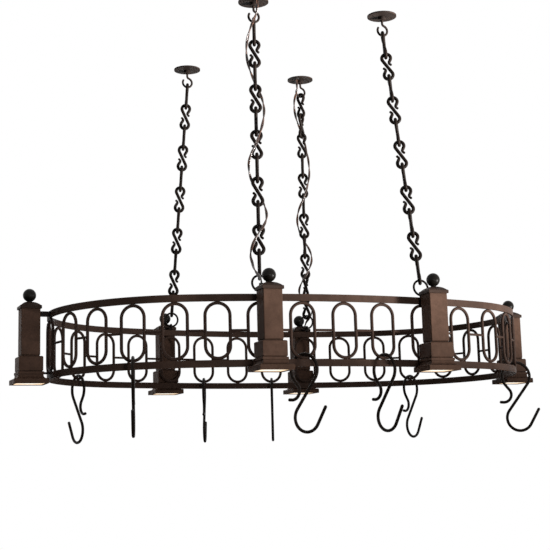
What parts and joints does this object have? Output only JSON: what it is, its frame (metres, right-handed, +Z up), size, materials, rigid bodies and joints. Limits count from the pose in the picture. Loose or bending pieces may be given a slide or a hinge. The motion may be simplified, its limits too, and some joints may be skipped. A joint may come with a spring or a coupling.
{
  "type": "hanging pot rack",
  "caption": "Ceiling-hung oval pot rack: two flat bands joined by a frieze of upright oval rings, square lamp posts, S-link chains and hanging pot hooks.",
  "frame": {"origin": "in the ceiling plane, midway between the four ceiling plates, above the middle of the rack", "axes": "+Z up, +X along the long side of the oval, +Y towards the back (the side farther from the camera of the picture)"},
  "size_m": [1.219, 0.8, 0.908],
  "materials": {
    "band_iron": "dark oil-rubbed bronze, satin",
    "rod_iron": "dark oil-rubbed bronze, satin",
    "dark_iron": "dark oil-rubbed bronze, satin",
    "post_iron": "dark oil-rubbed bronze, satin",
    "cap_iron": "dark oil-rubbed bronze, satin",
    "ball_iron": "dark oil-rubbed bronze, satin",
    "chain_iron": "dark oil-rubbed bronze, satin",
    "hook_iron": "dark oil-rubbed bronze, satin",
    "frosted_glass": "frosted, lit from behind",
    "bulb_glass": "frosted",
    "ceramic": "matt, stands for glazed ceramic",
    "grommet": "matt",
    "cord": "smooth, satin"
  },
  "bodies": {
    "ceiling": {"ceiling_plates": "dark_iron", "ceiling_hooks": "dark_iron", "ceiling_bushings": "grommet"},
    "rack": {"upper_band": "band_iron", "lower_band": "band_iron", "ovals_front": "rod_iron", "ovals_back": "rod_iron", "spacers_front": "rod_iron", "spacers_back": "rod_iron", "standoffs": "dark_iron", "eye_bolts": "dark_iron", "post_bushings": "grommet", "base_1": "post_iron", "base_2": "post_iron", "base_3": "post_iron", "base_4": "post_iron", "base_5": "post_iron", "base_6": "post_iron", "tube_1": "post_iron", "tube_2": "post_iron", "tube_3": "post_iron", "tube_4": "post_iron", "tube_5": "post_iron", "tube_6": "post_iron", "cap_1": "cap_iron", "cap_2": "cap_iron", "cap_3": "cap_iron", "cap_4": "cap_iron", "cap_5": "cap_iron", "cap_6": "cap_iron", "finial_1": "ball_iron", "finial_2": "ball_iron", "finial_3": "ball_iron", "finial_4": "ball_iron", "finial_5": "ball_iron", "finial_6": "ball_iron", "lamp_glasses": "frosted_glass", "lamp_bulbs": "bulb_glass", "lamp_sockets": "ceramic"},
    "chain_fl_body": {"chain_fl": "chain_iron", "ring_fl": "chain_iron", "cord_fl": "cord"},
    "chain_fr_body": {"chain_fr": "chain_iron", "ring_fr": "chain_iron"},
    "chain_bl_body": {"chain_bl": "chain_iron", "ring_bl": "chain_iron"},
    "chain_br_body": {"chain_br": "chain_iron", "ring_br": "chain_iron", "cord_br": "cord"},
    "pot_hook_1": {"hook_1": "hook_iron"},
    "pot_hook_2": {"hook_2": "hook_iron"},
    "pot_hook_3": {"hook_3": "hook_iron"},
    "pot_hook_4": {"hook_4": "hook_iron"},
    "pot_hook_5": {"hook_5": "hook_iron"},
    "pot_hook_6": {"hook_6": "hook_iron"},
    "pot_hook_7": {"hook_7": "hook_iron"},
    "pot_hook_8": {"hook_8": "hook_iron"}
  },
  "joints": [
    {"name": "rack_sway", "type": "hinge", "parent": "ceiling", "child": "rack", "pos_m": [0, 0, 1.87149], "axis": [1, 0, 0], "range_deg": [-0.35, 0.35]},
    {"name": "chain_fl_swing", "type": "hinge", "parent": "ceiling", "child": "chain_fl_body", "pos_m": [-0.15, -0.24, -0.0435], "axis": [1, 0, 0], "range_deg": [-1.55, 1.55]},
    {"name": "chain_fr_swing", "type": "hinge", "parent": "ceiling", "child": "chain_fr_body", "pos_m": [0.15, -0.24, -0.0435], "axis": [1, 0, 0], "range_deg": [-1.55, 1.55]},
    {"name": "chain_bl_swing", "type": "hinge", "parent": "ceiling", "child": "chain_bl_body", "pos_m": [-0.15, 0.24, -0.0435], "axis": [1, 0, 0], "range_deg": [-1.55, 1.55]},
    {"name": "chain_br_swing", "type": "hinge", "parent": "ceiling", "child": "chain_br_body", "pos_m": [0.15, 0.24, -0.0435], "axis": [1, 0, 0], "range_deg": [-1.55, 1.55]},
    {"name": "hook_1_swing", "type": "hinge", "parent": "rack", "child": "pot_hook_1", "pos_m": [-0.42212, 0.23413, -0.75713], "axis": [-0.7602, -0.6497, 0], "range_deg": [-12, 12]},
    {"name": "hook_2_swing", "type": "hinge", "parent": "rack", "child": "pot_hook_2", "pos_m": [-0.41597, -0.23925, -0.75713], "axis": [0.7768, -0.6298, 0], "range_deg": [-12, 12]},
    {"name": "hook_3_swing", "type": "hinge", "parent": "rack", "child": "pot_hook_3", "pos_m": [-0.08855, 0.33826, -0.75713], "axis": [-0.9964, -0.0844, 0], "range_deg": [-12, 12]},
    {"name": "hook_4_swing", "type": "hinge", "parent": "rack", "child": "pot_hook_4", "pos_m": [0.08855, 0.33826, -0.75713], "axis": [-0.9964, 0.0844, 0], "range_deg": [-12, 12]},
    {"name": "hook_5_swing", "type": "hinge", "parent": "rack", "child": "pot_hook_5", "pos_m": [-0.09951, -0.33727, -0.75713], "axis": [0.9955, -0.0948, 0], "range_deg": [-12, 12]},
    {"name": "hook_6_swing", "type": "hinge", "parent": "rack", "child": "pot_hook_6", "pos_m": [0.0726, -0.33949, -0.75713], "axis": [0.9976, 0.0692, 0], "range_deg": [-12, 12]},
    {"name": "hook_7_swing", "type": "hinge", "parent": "rack", "child": "pot_hook_7", "pos_m": [0.42212, 0.23413, -0.75713], "axis": [-0.7602, 0.6497, 0], "range_deg": [-12, 12]},
    {"name": "hook_8_swing", "type": "hinge", "parent": "rack", "child": "pot_hook_8", "pos_m": [0.48035, -0.16768, -0.75713], "axis": [0.5444, 0.8388, 0], "range_deg": [-12, 12]}
  ],
  "couplings": [
    {"joint": "chain_fl_swing", "follows": "rack_sway", "ratio": 4.2877},
    {"joint": "chain_fr_swing", "follows": "rack_sway", "ratio": 4.2877},
    {"joint": "chain_bl_swing", "follows": "rack_sway", "ratio": 4.2877},
    {"joint": "chain_br_swing", "follows": "rack_sway", "ratio": 4.2877}
  ]
}
